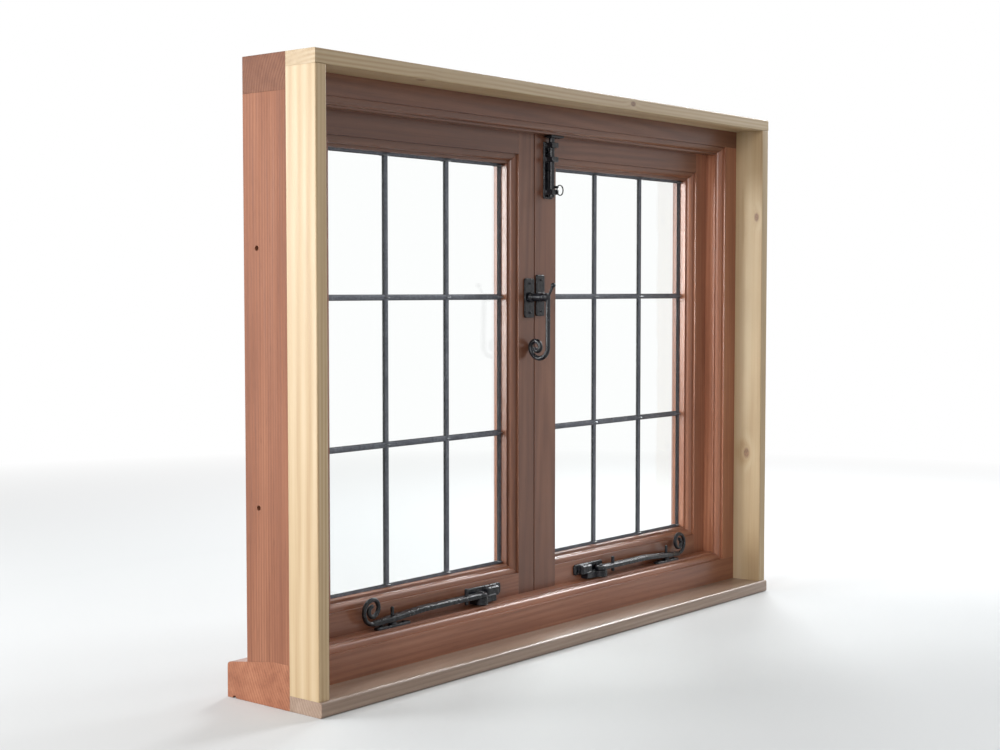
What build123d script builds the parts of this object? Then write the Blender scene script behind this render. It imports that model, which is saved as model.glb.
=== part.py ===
from build123d import *
import os
from math import radians, tan

# A pair of side-hung casements with leaded lights, in a moulded hardwood frame.
# X runs to the right seen from the room, Y runs outdoors and Z runs up. The origin is
# in the underside of the sill, midway along it, in the plane of the glass.

# Leaded lights
sight_width = 336
sight_height = 546
quarry_count_across = 3
quarry_count_up = 3
glass_thickness = 3
came_face = 6.5
came_depth = 7
came_heart = 1.5
came_edge = 1.2
edge_came_face = 16
edge_came_cover = 13
quarry_clearance = 0.25

# Casements
stile_width = 52
meeting_width = 60
meeting_rebate = 12
casement_depth = 44
glass_setback = 24
casement_moulding = 13
glazing_rebate = 13.5
bead_land = 6
bead_chamfer = 7
meeting_gap = 2

# Frame
frame_setback = 28
lip_overlap = 10
edge_gap = 2
jamb_show = 45
head_show = 37.5
sill_show = 47
sill_projection = 35
weathering_angle = 8
nose_radius = 5
drip_radius = 3
drip_setback = 12

# Moulding run round the frame and the casements on the room side
ovolo_radius = 7.5
fillet_step = 3.5
fillet_width = 2

# Joints of the timber
tenon_length = 26
tenon_thickness = 14
tenon_margin = 6
frame_tenon_length = 28

# Reveal lining and window board
lining_thickness = 17
lining_depth = 48
lining_nose = 1.5
board_thickness = 18
board_overhang = 4
board_nose = 3

# Fixing holes through the jambs, hidden in the rebate while the casements are shut
fixing_radius = 3
fixing_spacing = 300

# Butt hinges on the outdoor side
hinge_length = 65
hinge_leaf = 25
hinge_leaf_thickness = 2
hinge_knuckle_radius = 4
hinge_knuckles = 5
hinge_groove = 0.8
hinge_tip = 3
hinge_from_end = 110

# Fastener on the meeting stiles: a handle on the left leaf and a keeper on the right one
fastener_height = 472
fastener_plate_width = 21
fastener_plate_height = 54
fastener_plate_rise = 26
fastener_plate_x = -20
fastener_corner = 3
keeper_width = 18.5
keeper_height = 57
keeper_rise = 31
keeper_x = 4.3
iron_plate = 3
iron_bevel = 1
keeper_ramp = 2
spindle_reach = 34
spindle_radius = 5.2
collar_radius = 7.2
collar_width = 3
knob_radius = 6.2
nose_height = 9
nose_depth = 6
tail_radius = 3.3
tail_drop = 68
tail_scroll_radii = [15, 8.5, 5]
finial_rise = 16.5
finial_reach = 9
finial_radius = 3.4
finial_neck = 1.9

# Bolt at the top of the right meeting stile
bolt_x = 22
bolt_plate_width = 20
bolt_plate_height = 78
bolt_plate_thickness = 2.5
bolt_below_lip = 9
bolt_stand_off = 7.5
bolt_radius = 4
bolt_guide_height = 7
bolt_guide_places = [9, 54, 73.5]
bolt_guide_wall = 3
bolt_throw = 9
bolt_end_room = 3
bolt_keep_width = 28
bolt_keep_shift = 5
bolt_keep_depth = 14
bolt_keep_thickness = 3
bolt_hole_clearance = 0.3
ring_radius = 7
ring_wire = 0.9
ring_stud_radius = 1.8

# Stays along the bottom rails, each dropped over a pin on the sill
stay_stand_off = 12
stay_width = 13
stay_thickness = 6.5
stay_fall = 5.5
stay_fall_start = 250
stay_edge = 1.5
stay_pivot_x = 135
stay_pin_x = 306
stay_hub_radius = 8.5
stay_pivot_radius = 2.5
stay_taper_start = 312
stay_scroll_x = 340
stay_scroll_radii = [15, 10.5, 6.5]
stay_tail_radius = 2.9
stay_hole_clearance = 0.6
stay_stud_x = 165
stay_stud_radius = 2.6
stay_stud_rise = 9.5
stay_stud_drop = 6
stay_pin_radius = 2.3
stay_pin_top = 90.5
stay_pin_tip = 1.5
stay_rest_length = 60
stay_rest_width = 10
stay_rest_thickness = 3.5
stay_rest_radius = 6
stay_rest_top_radius = 4.5
stay_boss_height = 3.5

# Bracket of each stay: a plate, a block on it and a cheek that carries the pivot
bracket_start = 83
bracket_end = 152
bracket_height = 15.5
bracket_rise = 1.2
bracket_corner = 4
block_start = 93
block_end = 119
block_depth = 10
block_height = 13
block_rise = 4
block_corner = 4
block_edge = 2
cheek_radius = 9.5
cheek_thickness = 9
cheek_gap = 0.2
rivet_radius = 4.2
rivet_rise = 1.8

# Heights and widths that follow
inner_sight = meeting_width - meeting_rebate / 2
outer_sight = inner_sight + sight_width
casement_cover = stile_width - lip_overlap
lip_x = outer_sight + casement_cover
jamb_width = jamb_show + lining_thickness
head_width = head_show + lining_thickness
sill_height = sill_show + board_thickness
frame_x = lip_x + jamb_width
sight_bottom = sill_height + casement_cover
sight_top = sight_bottom + sight_height
lip_bottom = sill_height
lip_top = sight_top + casement_cover
frame_top = lip_top + head_width
frame_moulding = lip_overlap + edge_gap

# Depths that follow
casement_room = -glass_setback
casement_outside = casement_room + casement_depth
casement_middle = casement_room + casement_depth / 2
frame_room = casement_room - frame_setback
frame_outside = casement_outside
nose_y = frame_outside + sill_projection
lining_front = frame_room - lining_depth
glazing_seat = -came_depth / 2
full_depth = 2 * (nose_y - lining_front)
weathering_top = sill_height - frame_moulding
weathering_slope = tan(radians(weathering_angle))
mid_height = (sight_bottom + sight_top) / 2


def section_plane(centre, outward):
    """Plane across a member: local x runs away from the opening, local y outdoors."""
    along = Vector(*outward).cross(Vector(0, 1, 0))
    return Plane(origin=centre, x_dir=outward, z_dir=along)


def elevation_plane(centre, outward):
    """Plane of the wall: local x runs along the member, local y away from the opening."""
    along = Vector(*outward).cross(Vector(0, 1, 0))
    return Plane(origin=centre, x_dir=along, z_dir=(0, 1, 0))


def draw_moulding(back, room_face, moulding):
    """Reveal, quirk, ovolo and fillet, from the back of the reveal to the flat face."""
    quirk = room_face + fillet_step + ovolo_radius
    ovolo_start = moulding - fillet_width - ovolo_radius
    ovolo_end = moulding - fillet_width
    shelf = room_face + fillet_step
    Polyline((0, back), (0, quirk), (ovolo_start, quirk))
    RadiusArc((ovolo_start, quirk), (ovolo_end, shelf), -ovolo_radius)
    Polyline((ovolo_end, shelf), (moulding, shelf), (moulding, room_face))


def draw_casement_section(width, rebate, rebated_half):
    """Section of a casement member, with a rebate in its far edge on a meeting stile."""
    draw_moulding(glazing_seat, casement_room, casement_moulding)
    short = width - rebate
    room_edge = short if rebated_half == "room" else width
    outdoor_edge = short if rebated_half == "outdoors" else width
    points = [(casement_moulding, casement_room), (room_edge, casement_room)]
    if rebate:
        points += [(room_edge, casement_middle), (outdoor_edge, casement_middle)]
    points += [
        (outdoor_edge, casement_outside),
        (glazing_rebate, casement_outside),
        (glazing_rebate, glazing_seat),
        (0, glazing_seat),
    ]
    Polyline(*points)


def draw_frame_section(width):
    """Section of the head and the jambs, with the lip that the casements close on."""
    draw_moulding(casement_room, frame_room, frame_moulding)
    Polyline(
        (frame_moulding, frame_room),
        (width, frame_room),
        (width, frame_outside),
        (frame_moulding, frame_outside),
        (frame_moulding, casement_room),
        (0, casement_room),
    )


def draw_sill_section():
    """Section of the sill, weathered outdoors down to a square nose."""
    draw_moulding(casement_room, frame_room, frame_moulding)
    nose_drop = (nose_y - casement_room) * weathering_slope
    Polyline(
        (frame_moulding, frame_room),
        (sill_height, frame_room),
        (sill_height, nose_y),
        (frame_moulding + nose_drop, nose_y),
        (frame_moulding, casement_room),
        (0, casement_room),
    )


def draw_outline(sight, run_on, width, moulding):
    """Elevation of a member: its moulding mitres, and its flat butts or runs on."""
    half = sight / 2
    end = half + run_on
    Polyline(
        (-end, width),
        (end, width),
        (end, moulding),
        (half + moulding, moulding),
        (half, 0),
        (-half, 0),
        (-half - moulding, moulding),
        (-end, moulding),
        close=True,
    )


def draw_stopped_outline(sight, width, moulding):
    """Elevation of a member that butts between two others at both ends."""
    half = sight / 2
    shoulder = half + moulding
    Polyline(
        (-shoulder, width),
        (shoulder, width),
        (shoulder, moulding),
        (half, 0),
        (-half, 0),
        (-shoulder, moulding),
        close=True,
    )


def leaf_tenons(left, right, rail_edge, outward, mode):
    """Tenons of one rail of a casement, as wood on the rail or mortises in the stiles."""
    width = stile_width - casement_moulding - 2 * tenon_margin
    height = rail_edge + outward * (casement_moulding + tenon_margin + width / 2)
    for shoulder, side in ((left - casement_moulding, -1), (right + casement_moulding, 1)):
        with Locations((shoulder + side * tenon_length / 2, casement_middle, height)):
            Box(tenon_length, tenon_thickness, width, mode=mode)


def leaf_mortises(left, right):
    """Mortises for both rails of a casement."""
    leaf_tenons(left, right, sight_bottom, -1, Mode.SUBTRACT)
    leaf_tenons(left, right, sight_top, 1, Mode.SUBTRACT)


def jamb_tenons(side, mode):
    """Tenons of a jamb, as wood on the jamb or mortises in the head and the sill."""
    width = jamb_width - frame_moulding - 2 * tenon_margin
    x = side * (lip_x + frame_moulding + tenon_margin + width / 2)
    reach = frame_tenon_length
    for height in (weathering_top - reach / 2, lip_top + frame_moulding + reach / 2):
        with Locations((x, casement_middle, height)):
            Box(width, tenon_thickness, reach, mode=mode)


def room_plane(x, z):
    """Plane on the casements' room face: local x to the right, local y up."""
    return Plane((x, casement_room, z), x_dir=(1, 0, 0), z_dir=(0, -1, 0))


def came_lines(sight_start, sight, count):
    """Evenly spaced middles of the lead cames, the outermost ones set in the rebate."""
    beyond = edge_came_cover - edge_came_face / 2
    pitch = (sight + 2 * beyond) / count
    return [sight_start - beyond + pitch * step for step in range(count + 1)]


def draw_came(face):
    """H-shaped section of a lead came, with a low dome on both faces."""
    half = face / 2
    heart = came_heart / 2
    channel = glass_thickness / 2
    edge = channel + came_edge
    crown = came_depth / 2
    for side in (-1, 1):
        Polyline(
            (side * half, -edge),
            (side * half, -channel),
            (side * heart, -channel),
            (side * heart, channel),
            (side * half, channel),
            (side * half, edge),
        )
        ThreePointArc((-half, side * edge), (0, side * crown), (half, side * edge))


def draw_scroll(shank, radii):
    """Half turns of falling radius that follow on from a straight shank."""
    last = shank
    for radius in radii:
        last = JernArc(last @ 1, last % 1, radius, 180)


hinge_heights = [
    lip_bottom - lip_overlap + hinge_from_end,
    lip_top + lip_overlap - hinge_from_end,
]


def hinge_leaves(side, mode):
    """The two leaves of each hinge, closed together across the gap at the hanging stile."""
    gap_x = side * (lip_x + lip_overlap + edge_gap / 2)
    for height in hinge_heights:
        with Locations((gap_x, casement_outside - hinge_leaf / 2, height)):
            Box(2 * hinge_leaf_thickness, hinge_leaf, hinge_length, mode=mode)


pieces = {}

# Frame

with BuildPart() as frame_head:
    centre = (0, 0, lip_top)
    with BuildSketch(section_plane(centre, (0, 0, 1))):
        with BuildLine():
            draw_frame_section(head_width)
        make_face()
    extrude(amount=frame_x, both=True)
    with BuildSketch(elevation_plane(centre, (0, 0, 1))):
        with BuildLine():
            draw_outline(2 * lip_x, jamb_width, head_width, frame_moulding)
        make_face()
    extrude(amount=full_depth, both=True, mode=Mode.INTERSECT)
    for side in (-1, 1):
        jamb_tenons(side, Mode.SUBTRACT)
    with Locations((bolt_x, casement_room - bolt_stand_off, lip_top)):
        Cylinder(
            bolt_radius + bolt_hole_clearance,
            bolt_throw + bolt_end_room,
            align=(Align.CENTER, Align.CENTER, Align.MIN),
            mode=Mode.SUBTRACT,
        )
pieces["frame_head"] = frame_head

with BuildPart() as frame_sill:
    centre = (0, 0, lip_bottom)
    with BuildSketch(section_plane(centre, (0, 0, -1))):
        with BuildLine():
            draw_sill_section()
        make_face()
        with Locations((sill_height, nose_y - drip_setback)):
            Circle(drip_radius, mode=Mode.SUBTRACT)
    extrude(amount=frame_x, both=True)
    with BuildSketch(elevation_plane(centre, (0, 0, -1))):
        with BuildLine():
            draw_outline(2 * lip_x, jamb_width, sill_height, frame_moulding)
        make_face()
    extrude(amount=full_depth, both=True, mode=Mode.INTERSECT)
    nose_edges = frame_sill.edges().filter_by(Axis.X).group_by(Axis.Y)[-1]
    fillet(nose_edges.sort_by(Axis.Z)[-1], nose_radius)
    for side in (-1, 1):
        jamb_tenons(side, Mode.SUBTRACT)
pieces["frame_sill"] = frame_sill

for side, name in ((-1, "frame_jamb_left"), (1, "frame_jamb_right")):
    lip_height = lip_top - lip_bottom
    foot_drop = (nose_y - casement_room) * weathering_slope
    with BuildPart() as jamb:
        centre = (side * lip_x, 0, (lip_bottom + lip_top) / 2)
        with BuildSketch(section_plane(centre, (side, 0, 0))):
            with BuildLine():
                draw_frame_section(jamb_width)
            make_face()
        extrude(amount=lip_height, both=True)
        with BuildSketch(elevation_plane(centre, (side, 0, 0))):
            with BuildLine():
                draw_stopped_outline(lip_height, jamb_width, frame_moulding)
            make_face()
            foot = -side * (lip_height / 2 + frame_moulding + foot_drop / 2)
            with Locations((foot, (frame_moulding + jamb_width) / 2)):
                Rectangle(foot_drop, jamb_width - frame_moulding)
        extrude(amount=full_depth, both=True, mode=Mode.INTERSECT)
        with BuildSketch(Plane.YZ):
            with BuildLine():
                Polyline(
                    (frame_room, weathering_top),
                    (casement_room, weathering_top),
                    (nose_y, weathering_top - foot_drop),
                    (nose_y, 0),
                    (frame_room, 0),
                    close=True,
                )
            make_face()
        extrude(amount=frame_x, both=True, mode=Mode.SUBTRACT)
        jamb_tenons(side, Mode.ADD)
        hinge_leaves(side, Mode.SUBTRACT)
        with Locations(Plane((side * frame_x, casement_middle, mid_height), (0, 1, 0), (side, 0, 0))):
            with GridLocations(1, fixing_spacing, 1, 2):
                Hole(fixing_radius)
    pieces[name] = jamb

# Reveal lining and window board

with BuildPart() as lining_head:
    with BuildSketch(Plane.XY.offset(frame_top - lining_thickness)):
        with Locations((0, frame_room)):
            Rectangle(2 * frame_x, lining_depth, align=(Align.CENTER, Align.MAX))
    extrude(amount=lining_thickness)
    front = lining_head.edges().filter_by(Axis.X).group_by(Axis.Y)[0]
    fillet(front, lining_nose)
pieces["lining_head"] = lining_head

for side, name in ((-1, "lining_left"), (1, "lining_right")):
    with BuildPart() as lining:
        with BuildSketch(Plane.XY.offset(board_thickness)):
            with Locations((side * (frame_x - lining_thickness / 2), frame_room)):
                Rectangle(lining_thickness, lining_depth, align=(Align.CENTER, Align.MAX))
        extrude(amount=frame_top - lining_thickness - board_thickness)
        fillet(lining.edges().filter_by(Axis.Z).group_by(Axis.Y)[0], lining_nose)
    pieces[name] = lining

with BuildPart() as window_board:
    with BuildSketch(Plane.XY):
        with Locations((0, frame_room)):
            Rectangle(2 * frame_x, lining_depth + board_overhang, align=(Align.CENTER, Align.MAX))
    extrude(amount=board_thickness)
    nose = window_board.edges().filter_by(Axis.X).group_by(Axis.Y)[0]
    fillet(nose, board_nose)
pieces["window_board"] = window_board

# Casements

for side, hand in ((-1, "left"), (1, "right")):
    sight_centre = side * (inner_sight + outer_sight) / 2
    sight_left = sight_centre - sight_width / 2
    sight_right = sight_centre + sight_width / 2
    rebated_half = "room" if side < 0 else "outdoors"

    with BuildPart() as hanging_stile:
        centre = (side * outer_sight, 0, mid_height)
        with BuildSketch(section_plane(centre, (side, 0, 0))):
            with BuildLine():
                draw_casement_section(stile_width, 0, "none")
            make_face()
        extrude(amount=sight_height, both=True)
        with BuildSketch(elevation_plane(centre, (side, 0, 0))):
            with BuildLine():
                draw_outline(sight_height, stile_width, stile_width, casement_moulding)
            make_face()
        extrude(amount=full_depth, both=True, mode=Mode.INTERSECT)
        leaf_mortises(sight_left, sight_right)
        hinge_leaves(side, Mode.SUBTRACT)
    pieces[f"{hand}_hanging_stile"] = hanging_stile

    with BuildPart() as meeting_stile:
        centre = (side * inner_sight, 0, mid_height)
        with BuildSketch(section_plane(centre, (-side, 0, 0))):
            with BuildLine():
                draw_casement_section(meeting_width, meeting_rebate + meeting_gap, rebated_half)
            make_face()
        extrude(amount=sight_height, both=True)
        with BuildSketch(elevation_plane(centre, (-side, 0, 0))):
            with BuildLine():
                draw_outline(sight_height, stile_width, meeting_width, casement_moulding)
            make_face()
        extrude(amount=full_depth, both=True, mode=Mode.INTERSECT)
        leaf_mortises(sight_left, sight_right)
    pieces[f"{hand}_meeting_stile"] = meeting_stile

    for height, up, rail_name in ((sight_top, 1, "top_rail"), (sight_bottom, -1, "bottom_rail")):
        outward = (0, 0, up)
        with BuildPart() as rail:
            centre = (sight_centre, 0, height)
            with BuildSketch(section_plane(centre, outward)):
                with BuildLine():
                    draw_casement_section(stile_width, 0, "none")
                make_face()
            extrude(amount=sight_width, both=True)
            with BuildSketch(elevation_plane(centre, outward)):
                with BuildLine():
                    draw_stopped_outline(sight_width, stile_width, casement_moulding)
                make_face()
            extrude(amount=full_depth, both=True, mode=Mode.INTERSECT)
            leaf_tenons(sight_left, sight_right, height, up, Mode.ADD)
        pieces[f"{hand}_{rail_name}"] = rail

    upright_lines = came_lines(sight_left, sight_width, quarry_count_across)
    level_lines = came_lines(sight_bottom, sight_height, quarry_count_up)
    seam = came_heart / 2 + quarry_clearance

    with BuildPart() as glass:
        with BuildSketch(Plane.XZ):
            for x1, x2 in zip(upright_lines, upright_lines[1:]):
                for z1, z2 in zip(level_lines, level_lines[1:]):
                    with Locations(((x1 + x2) / 2, (z1 + z2) / 2)):
                        Rectangle(x2 - x1 - 2 * seam, z2 - z1 - 2 * seam)
        extrude(amount=glass_thickness / 2, both=True)
    pieces[f"{hand}_glass"] = glass

    with BuildPart() as leading:
        for lines, outward in ((upright_lines, (1, 0, 0)), (level_lines, (0, 0, 1))):
            upright = outward == (1, 0, 0)
            reach = (sight_height if upright else sight_width) / 2 + edge_came_cover
            for line in lines:
                at_edge = line in (lines[0], lines[-1])
                face = edge_came_face if at_edge else came_face
                centre = (line, 0, mid_height) if upright else (sight_centre, 0, line)
                with BuildSketch(section_plane(centre, outward)):
                    with BuildLine():
                        draw_came(face)
                    make_face()
                extrude(amount=reach if at_edge else reach - edge_came_face / 2, both=True)
    pieces[f"{hand}_leading"] = leading

    with BuildPart() as beads:
        with BuildSketch(Plane((sight_centre, came_depth / 2, mid_height), (1, 0, 0), (0, 1, 0))):
            Rectangle(sight_width + 2 * glazing_rebate, sight_height + 2 * glazing_rebate)
            Rectangle(sight_width, sight_height, mode=Mode.SUBTRACT)
        extrude(amount=bead_land + bead_chamfer)
        weather_face = beads.faces().sort_by(Axis.Y)[-1]
        chamfer(weather_face.inner_wires()[0].edges(), bead_chamfer)
    pieces[f"{hand}_beads"] = beads

    for height, place in zip(hinge_heights, ("bottom", "top")):
        gap_x = side * (lip_x + lip_overlap + edge_gap / 2)
        knuckle_y = casement_outside + hinge_knuckle_radius
        knuckle = hinge_length / hinge_knuckles
        with BuildPart() as hinge:
            with Locations((gap_x, knuckle_y, height)):
                Box(
                    2 * hinge_leaf_thickness,
                    hinge_leaf + hinge_knuckle_radius,
                    hinge_length,
                    align=(Align.CENTER, Align.MAX, Align.CENTER),
                )
                Cylinder(hinge_knuckle_radius - hinge_groove, hinge_length + 2 * hinge_tip)
            for step in range(hinge_knuckles):
                offset = (step - (hinge_knuckles - 1) / 2) * knuckle
                with Locations((gap_x, knuckle_y, height + offset)):
                    Cylinder(hinge_knuckle_radius, knuckle - hinge_groove)
            tips = hinge.edges().filter_by(GeomType.CIRCLE).sort_by(Axis.Z)
            fillet([tips[0], tips[-1]], hinge_knuckle_radius - 2 * hinge_groove)
        pieces[f"hinge_{hand}_{place}"] = hinge


# Fastener, all forged iron on the room side

with BuildPart() as fastener_plate:
    plate_z = fastener_height + fastener_plate_rise - fastener_plate_height / 2
    with BuildSketch(room_plane(fastener_plate_x, plate_z)):
        RectangleRounded(fastener_plate_width, fastener_plate_height, fastener_corner)
    extrude(amount=iron_plate)
    chamfer(fastener_plate.faces().sort_by(Axis.Y)[0].edges(), iron_bevel)
pieces["fastener_plate"] = fastener_plate

with BuildPart() as fastener_keeper:
    keeper_z = fastener_height + keeper_rise - keeper_height / 2
    with BuildSketch(room_plane(keeper_x, keeper_z)):
        RectangleRounded(keeper_width, keeper_height, fastener_corner)
    extrude(amount=iron_plate)
    chamfer(fastener_keeper.faces().sort_by(Axis.Y)[0].edges(), iron_bevel)
    with BuildSketch(room_plane(keeper_x, fastener_height).offset(iron_plate)):
        Rectangle(keeper_width - 4 * iron_bevel, nose_height + 4 * iron_bevel)
    extrude(amount=keeper_ramp, taper=20)
pieces["fastener_keeper"] = fastener_keeper

plate_face = casement_room - iron_plate
tail_y = plate_face - spindle_reach + knob_radius / 2
with BuildPart() as fastener_handle:
    with BuildSketch(Plane.YZ.offset(fastener_plate_x)):
        with BuildLine():
            collar = fastener_height + collar_radius
            neck = fastener_height + spindle_radius
            ring = (collar + neck) / 2
            knob_y = plate_face - spindle_reach + knob_radius
            Polyline(
                (plate_face, fastener_height),
                (plate_face, collar),
                (plate_face - collar_width, collar),
                (plate_face - 2 * collar_width, neck),
                (knob_y + 3 * collar_width, neck),
                (knob_y + 2 * collar_width, ring),
                (knob_y + collar_width, neck),
                (knob_y, fastener_height + knob_radius),
            )
            CenterArc((knob_y, fastener_height), knob_radius, 90, 90)
            Line((knob_y - knob_radius, fastener_height), (plate_face, fastener_height))
        make_face()
    revolve(axis=Axis((fastener_plate_x, 0, fastener_height), (0, 1, 0)))
    with BuildSketch(room_plane(fastener_plate_x, fastener_height).offset(iron_plate + keeper_ramp)):
        with BuildLine():
            nose_end = keeper_x - fastener_plate_x
            Polyline((nose_end, nose_height / 2), (0, nose_height / 2), (0, -nose_height / 2))
            Polyline((0, -nose_height / 2), (nose_end, -nose_height / 2))
            RadiusArc((nose_end, nose_height / 2), (nose_end, -nose_height / 2), nose_height / 2)
        make_face()
    extrude(amount=nose_depth)
    with BuildLine(Plane.YZ.offset(fastener_plate_x)) as tail_path:
        shank = Line((tail_y, fastener_height), (tail_y, fastener_height - tail_drop))
        draw_scroll(shank, tail_scroll_radii)
    with BuildSketch(Plane(origin=(fastener_plate_x, tail_y, fastener_height), z_dir=(0, 0, -1))):
        Circle(tail_radius)
    sweep(path=tail_path.wire())
    with BuildLine(Plane.YZ.offset(fastener_plate_x)) as neck_path:
        neck_top = (tail_y - finial_reach, fastener_height + finial_rise)
        Line((tail_y, fastener_height), neck_top)
    with BuildSketch(Plane(origin=neck_path.line @ 0, z_dir=neck_path.line % 0)):
        Circle(finial_neck)
    sweep(path=neck_path.wire())
    with Locations(neck_path.line @ 1):
        Sphere(finial_radius)
pieces["fastener_handle"] = fastener_handle

# Bolt

bolt_plate_top = lip_top - bolt_below_lip
bolt_plate_bottom = bolt_plate_top - bolt_plate_height
bolt_y = casement_room - bolt_stand_off
with BuildPart() as bolt_plate:
    with BuildSketch(room_plane(bolt_x, bolt_plate_top - bolt_plate_height / 2)):
        Rectangle(bolt_plate_width, bolt_plate_height)
    extrude(amount=bolt_plate_thickness)
    chamfer(bolt_plate.faces().sort_by(Axis.Y)[0].edges(), iron_bevel)
    guide_depth = bolt_stand_off + bolt_radius + bolt_guide_wall
    for place in bolt_guide_places:
        with Locations((bolt_x, casement_room, bolt_plate_bottom + place)):
            Box(
                2 * (bolt_radius + bolt_guide_wall),
                guide_depth,
                bolt_guide_height,
                align=(Align.CENTER, Align.MAX, Align.CENTER),
            )
    with Locations((bolt_x, bolt_y, bolt_plate_top)):
        Cylinder(bolt_radius + bolt_hole_clearance, 3 * bolt_plate_height, mode=Mode.SUBTRACT)
pieces["bolt_plate"] = bolt_plate

with BuildPart() as bolt_shoot:
    bottom = bolt_plate_bottom + ring_stud_radius
    top = lip_top + bolt_throw
    with BuildSketch(Plane.XY.offset(bottom)):
        with Locations((bolt_x, bolt_y)):
            Circle(bolt_radius)
    extrude(amount=top - bottom)
    chamfer(bolt_shoot.faces().sort_by(Axis.Z)[-1].edges(), 1)
    stud_x = bolt_x + bolt_radius - ring_stud_radius / 2
    stud_reach = bolt_radius + bolt_guide_wall + 2 * ring_wire
    stud_z = bolt_plate_bottom + bolt_guide_places[0] + bolt_guide_height / 2 + 2 * ring_stud_radius
    with BuildSketch(Plane((stud_x, bolt_y, stud_z), (1, 0, 0), (0, -1, 0))):
        Circle(ring_stud_radius)
    extrude(amount=stud_reach)
    ring_centre = (stud_x + 0.8 * ring_radius, bolt_y - stud_reach + ring_wire, stud_z - 0.6 * ring_radius)
    with Locations(Plane(ring_centre, (1, 0, 0), (0, -1, 0))):
        Torus(ring_radius, ring_wire)
pieces["bolt_shoot"] = bolt_shoot

with BuildPart() as bolt_keep:
    with BuildSketch(Plane.XY.offset(lip_top - bolt_keep_thickness)):
        with Locations((bolt_x + bolt_keep_shift, bolt_y)):
            Rectangle(bolt_keep_width, bolt_keep_depth)
        with Locations((bolt_x, bolt_y)):
            Circle(bolt_radius + bolt_hole_clearance, mode=Mode.SUBTRACT)
    extrude(amount=bolt_keep_thickness)
pieces["bolt_keep"] = bolt_keep

# Stays

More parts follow.
